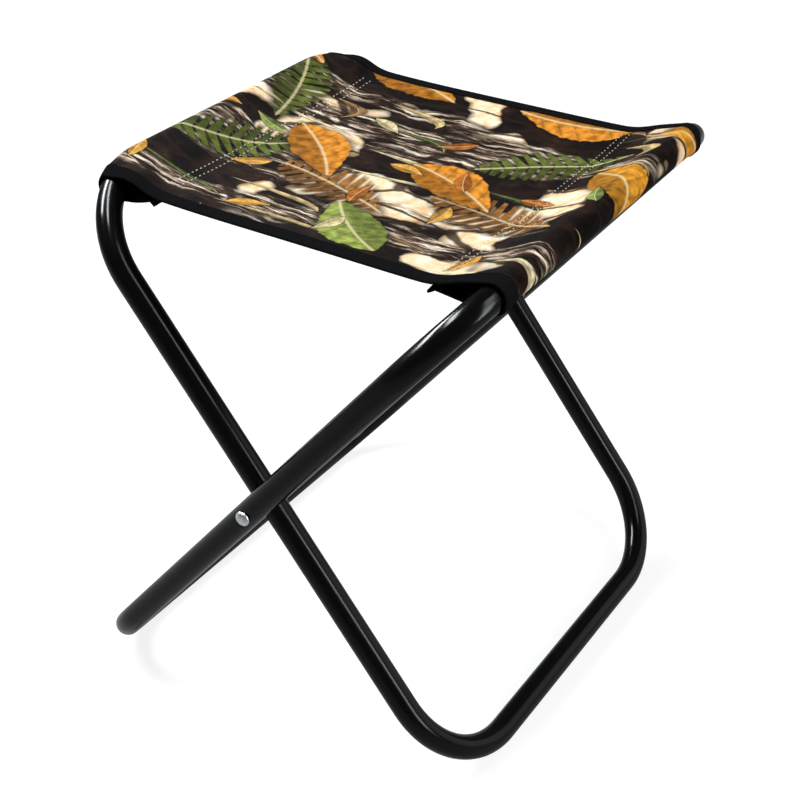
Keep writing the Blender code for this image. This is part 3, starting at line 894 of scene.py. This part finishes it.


# Studio: white paper on the floor. In enamel and zinc it mirrors as a dim painted glow, brighter in a painted
# pool at the back.
paperLook = {"size": 120, "colour": "#929292", "glow": 0.82, "poolMiddle": (-0.5, 0.77, 0),
             "poolEdge": (1.0, 1.35), "mirrored": (0.2, 0.05)}


def floorPaper():
    material, tree, shader = newMaterial("whiteFloorPaper")
    light = addNode(tree, "LightPath").outputs
    where = addNode(tree, "TexCoord").outputs["Object"]
    # a painted pool of glow on the paper, seen only in reflections
    away = addNode(tree, "VectorMath", [where, paperLook["poolMiddle"]], operation="DISTANCE")
    pool = addNode(tree, "MapRange", [away.outputs["Value"], *paperLook["poolEdge"], *paperLook["mirrored"]],
                   interpolation_type="SMOOTHSTEP")
    mirrored = addNode(tree, "Math", [light["Is Glossy Ray"], pool], operation="MULTIPLY")
    seen = addNode(tree, "Math", [light["Is Camera Ray"], light["Is Transmission Ray"]], operation="MAXIMUM")
    seen = addNode(tree, "Math", [seen, mirrored], operation="MAXIMUM")
    glow = addNode(tree, "Math", [seen, paperLook["glow"]], operation="MULTIPLY")
    setInputs(tree, shader, {"Emission Strength": glow, "Emission Color": (1, 1, 1, 1),
                             "Base Color": linear(paperLook["colour"]), "Roughness": 1,
                             "Specular IOR Level": 0})
    return material


floorHalf = paperLook["size"] / 2
corners = [(-floorHalf, -floorHalf, 0), (floorHalf, -floorHalf, 0),
           (floorHalf, floorHalf, 0), (-floorHalf, floorHalf, 0)]
floor = addMesh("studioFloor", corners, [(0, 1, 2, 3)], [floorPaper()], smooth=False)

# Each lamp has a direction (0 is the front, 90 the right). The far one has a width in degrees and a strength,
# the near panels a distance and a size in metres, a roll and a power. A lamp without gloss isn't mirrored:
# enamel shows two near bars in place of the softbox and the overhead lamp, and the bars light nothing else.
lampColour, lampAim = (0.95, 0.98, 1.0), Vector((0, 0, 0.25))
lamps = {
    "overhead": {"azimuth": -60, "height": 80, "distance": 3, "width": 12, "strength": 0.8, "gloss": False},
    "leftSoftbox": {"azimuth": -87, "height": 48, "distance": 1.8, "roll": 37, "size": (1.5, 0.9),
                    "power": 39, "gloss": False},
    "rightStrip": {"azimuth": 83, "height": 12, "distance": 1.2, "size": (0.24, 0.55), "power": 4.8},
    "rightStripTop": {"azimuth": 81, "height": 42, "distance": 1.3, "size": (0.26, 0.8), "power": 4},
    "rightFill": {"azimuth": 128, "height": 14, "distance": 1.6, "size": (1.3, 1.1), "power": 3.5},
    "sideBar": {"azimuth": -77, "height": 40.5, "distance": 0.83, "size": (0.58, 0.145),
                "power": 13.4, "diffuse": False},
    "topBar": {"azimuth": -46, "height": 64, "distance": 0.66, "size": (0.36, 0.085),
               "power": 4, "diffuse": False},
}
for name, lamp in lamps.items():
    data = bpy.data.lights.new(name, "AREA" if "size" in lamp else "SUN")
    data.color = lampColour
    if "size" in lamp:
        data.shape, data.energy = "RECTANGLE", lamp["power"]
        data.size, data.size_y = lamp["size"]
    else:
        data.angle, data.energy = radians(lamp["width"]), lamp["strength"]
    turn, rise = radians(lamp["azimuth"]), radians(lamp["height"])
    toLamp = Vector((sin(turn) * cos(rise), -cos(turn) * cos(rise), sin(rise)))
    light = bpy.data.objects.new(name, data)
    light.location = lampAim + toLamp * lamp["distance"]
    facing = toLamp.to_track_quat("Z", "Y") @ Quaternion((0, 0, 1), radians(lamp.get("roll", 0)))
    light.rotation_euler = facing.to_euler()
    light.visible_diffuse, light.visible_glossy = lamp.get("diffuse", True), lamp.get("gloss", True)
    light.visible_camera = False
    scene.collection.objects.link(light)

roomLook = {"colour": "#8a8a8c", "strength": 0.45}
world = bpy.data.worlds.new("studioRoom")
scene.world = world
world.use_nodes = True
setInputs(world.node_tree, world.node_tree.nodes["Background"],
          {"Color": linear(roomLook["colour"]), "Strength": roomLook["strength"]})
print("studio lit")
